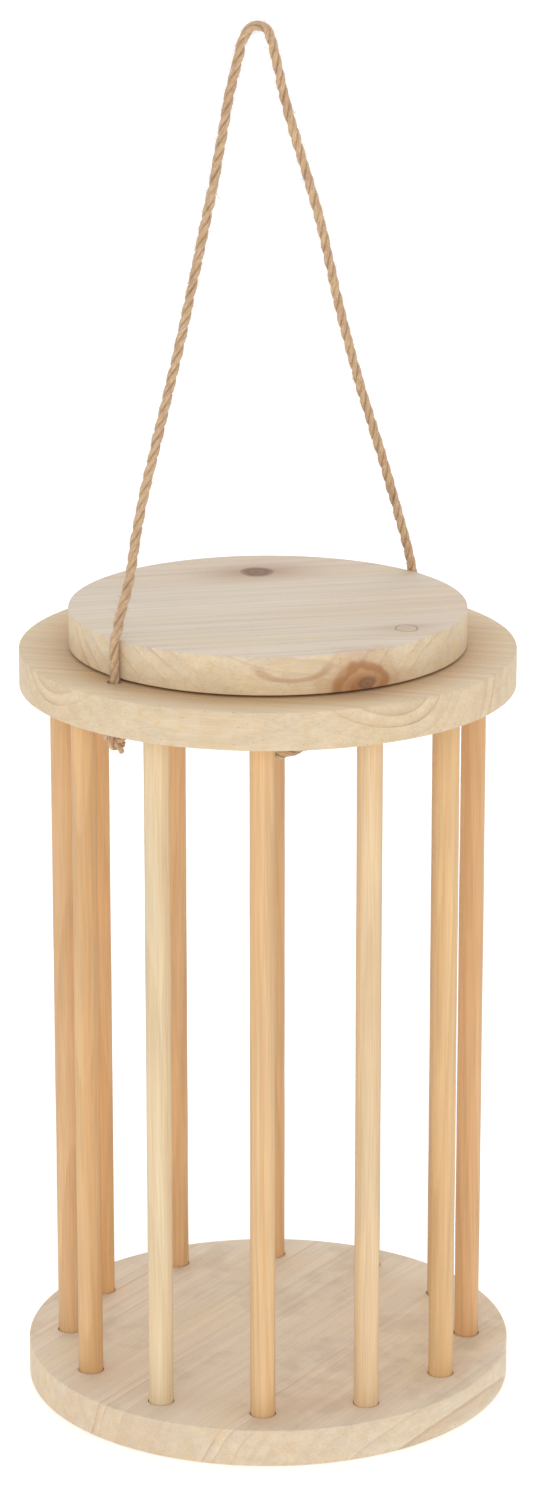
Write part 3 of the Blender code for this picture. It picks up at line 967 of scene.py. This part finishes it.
# Painted shade: the ring's top is darkened and warmed towards the lid's edge, fading out towards
# the rim; the smudges are dirt.
ring_top_shade_and_smudge = {
    "top": ring_high.z,
    "spread": (0.080, 0.103),
    "tone": (0.84, 0.735, 0.635),
    "smudge": 0.12,
}
ring.data.materials.append(
    pine(
        "ring_pine",
        (0.715, 0.578, 0.402),
        board_deep,
        turn=-14.0,
        heart=(-0.072, ring_high.z + 0.0084),
        ring_width=0.0085,
        seed=8.0,
        contrast=0.9,
        top_light_and_smudge=ring_top_shade_and_smudge,
    )
)
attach(ring, "cage")
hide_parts("top_ring")

# ---------------------------------------------------------------------------
# Lid. A smaller round of paler wood with two knots in its face and one in its
# edge. A disc glued under it drops into the ring's opening.
# ---------------------------------------------------------------------------
LID_EDGE = 0.0004
PLUG_EDGE = 0.0010

lid_low, lid_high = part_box("lid")
LID_KNOTS = (
    # The dark round knot at the back of the face.
    {
        "at": (-0.0045, 0.0520, lid_high.z),
        "axis": (0.06, 0.10, 1.0),
        "size": (0.0066, 0.0074),
        "depth": 0.05,
        "part": 0.9,
        "fill": 1.0,
        "outline": 0.40,
        "stain": 0.85,
        "hue": (0.43, 0.26, 0.17),
    },
    # The pale one at the right, with only its bark line and a faint shade round it.
    {
        "at": (0.0546, -0.0373, lid_high.z),
        "axis": (0.0, 0.05, 1.0),
        "size": (0.0044, 0.0052),
        "depth": 0.02,
        "part": 0.7,
        "fill": 0.05,
        "outline": 0.55,
        "stain": 0.50,
        "hue": (0.48, 0.33, 0.22),
    },
    # The sweep of grain in the edge beside the third knot.
    {
        "at": (0.0100, -0.0793, lid_low.z + 0.0112),
        "axis": (0.12, -0.99, 0.0),
        "size": (0.0140, 0.0058),
        "depth": 0.0100,
        "ragged": 0.5,
        "rag_scale": 60.0,
        "arcs": 0.42,
        "arc_pitch": 9.0,
        "arc_start": (0.5, 0.8),
        "arc_end": (1.1, 1.4),
        "arc_above": 0.0,
    },
    # The third knot, which the saw went through: its brown surround and arcs.
    {
        "at": (0.0360, -0.0716, lid_low.z + 0.0022),
        "axis": (0.45, -0.89, 0.0),
        "size": (0.0050, 0.0040),
        "depth": 0.0070,
        "ragged": 2.6,
        "rag_scale": 75.0,
        "part": 0.3,
        "heap": 0.0080,
        "arcs": 0.85,
        "arc_end": (1.6, 4.0),
        "stain": 1.0,
        "stain_fall": (0.20, 0.18),
        "hue": (0.47, 0.20, 0.055),
    },
    # Its dark middle.
    {
        "at": (0.0385, -0.0701, lid_low.z + 0.0024),
        "axis": (0.48, -0.88, 0.0),
        "size": (0.0046, 0.0026),
        "depth": 0.0060,
        "ragged": 1.2,
        "fill": 0.70,
        "stain": 0.70,
        "hue": (0.42, 0.21, 0.09),
    },
)

lid = round_board("lid_board", lid_low, lid_high, LID_EDGE)
soften(lid)
# Painted light: the lid's top face is made greyer and bluer than its edge.
lid_top_light = {
    "top": lid_high.z,
    "spread": (0.5, 1.0),
    "tone": (0.93, 0.965, 1.10),
    "smudge": 0.0,
}
lid.data.materials.append(
    pine(
        "lid_pine",
        (0.765, 0.635, 0.455),
        (0.450, 0.285, 0.160),
        turn=12.0,
        heart=(0.330, -0.060),
        ring_width=0.0056,
        seed=5.0,
        contrast=0.9,
        top_light_and_smudge=lid_top_light,
        knots=LID_KNOTS,
    )
)
plug = round_board("plug_board", plug_low, plug_high, PLUG_EDGE)
soften(plug)
plug.data.materials.append(
    pine(
        "plug_pine",
        board_pale,
        board_deep,
        turn=40.0,
        heart=(0.050, 0.100),
        ring_width=0.0062,
        seed=11.0,
    )
)
for piece, node in ((lid, "lid"), (plug, "lid_plug")):
    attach(piece, "lid")
    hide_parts(node)

# ---------------------------------------------------------------------------
# Studio. A plain pale floor and a bright even surround, with a large soft light
# in front, one above and behind, and a weaker one from the right.
# ---------------------------------------------------------------------------
FLOOR_SIZE = 200.0
FLOOR_GAP = 0.0002

bpy.ops.object.select_all(action="DESELECT")
bpy.ops.mesh.primitive_plane_add(size=FLOOR_SIZE, location=(0.0, 0.0, -FLOOR_GAP))
floor = bpy.context.object
floor.name = "floor"
floor_finish = Finish("floor_paper")
floor_finish.shader.inputs["Base Color"].default_value = (0.86, 0.86, 0.86, 1.0)
floor_finish.shader.inputs["Roughness"].default_value = 0.9
floor_finish.shader.inputs["Specular IOR Level"].default_value = 0.1
floor_finish.shader.inputs["Emission Color"].default_value = (1.0, 1.0, 1.0, 1.0)
floor_finish.shader.inputs["Emission Strength"].default_value = 0.36
floor.data.materials.append(floor_finish.material)


def soft_light(name, location, target, size, power):
    """A square softbox that faces its target."""
    light = bpy.data.lights.new(name, "AREA")
    light.shape = "SQUARE"
    light.size = size
    light.energy = power
    lamp = bpy.data.objects.new(name, light)
    lamp.location = location
    toward = Vector(target) - Vector(location)
    lamp.rotation_mode = "QUATERNION"
    lamp.rotation_quaternion = toward.to_track_quat("-Z", "Y")
    bpy.context.scene.collection.objects.link(lamp)
    return lamp


OBJECT_MIDDLE = (0.0, 0.0, 0.2)
soft_light("key_light", (-0.5, -2.5, 1.2), OBJECT_MIDDLE, size=1.6, power=11.0)
soft_light("side_light", (2.0, -1.2, 0.9), OBJECT_MIDDLE, size=1.2, power=2.6)
soft_light("top_light", (0.1, 1.4, 2.3), (0.0, 0.0, 0.3), size=1.6, power=11.0)

world = bpy.data.worlds.new("surround")
world.use_nodes = True
sky = world.node_tree
sky_way = sky.nodes.new("ShaderNodeTexCoord")
sky_parts = sky.nodes.new("ShaderNodeSeparateXYZ")
sky.links.new(sky_way.outputs["Generated"], sky_parts.inputs[0])
sky_side = sky.nodes.new("ShaderNodeMapRange")
sky_side.inputs["From Min"].default_value = -1.0
sky_side.inputs["From Max"].default_value = 1.0
sky_side.inputs["To Min"].default_value = 0.80
sky_side.inputs["To Max"].default_value = 0.78
sky.links.new(sky_parts.outputs["X"], sky_side.inputs["Value"])
sky.nodes["Background"].inputs["Color"].default_value = (1.0, 1.0, 1.0, 1.0)
sky.links.new(sky_side.outputs["Result"], sky.nodes["Background"].inputs["Strength"])
bpy.context.scene.world = world
bpy.context.scene.view_settings.view_transform = "Standard"
bpy.context.scene.view_settings.look = "None"
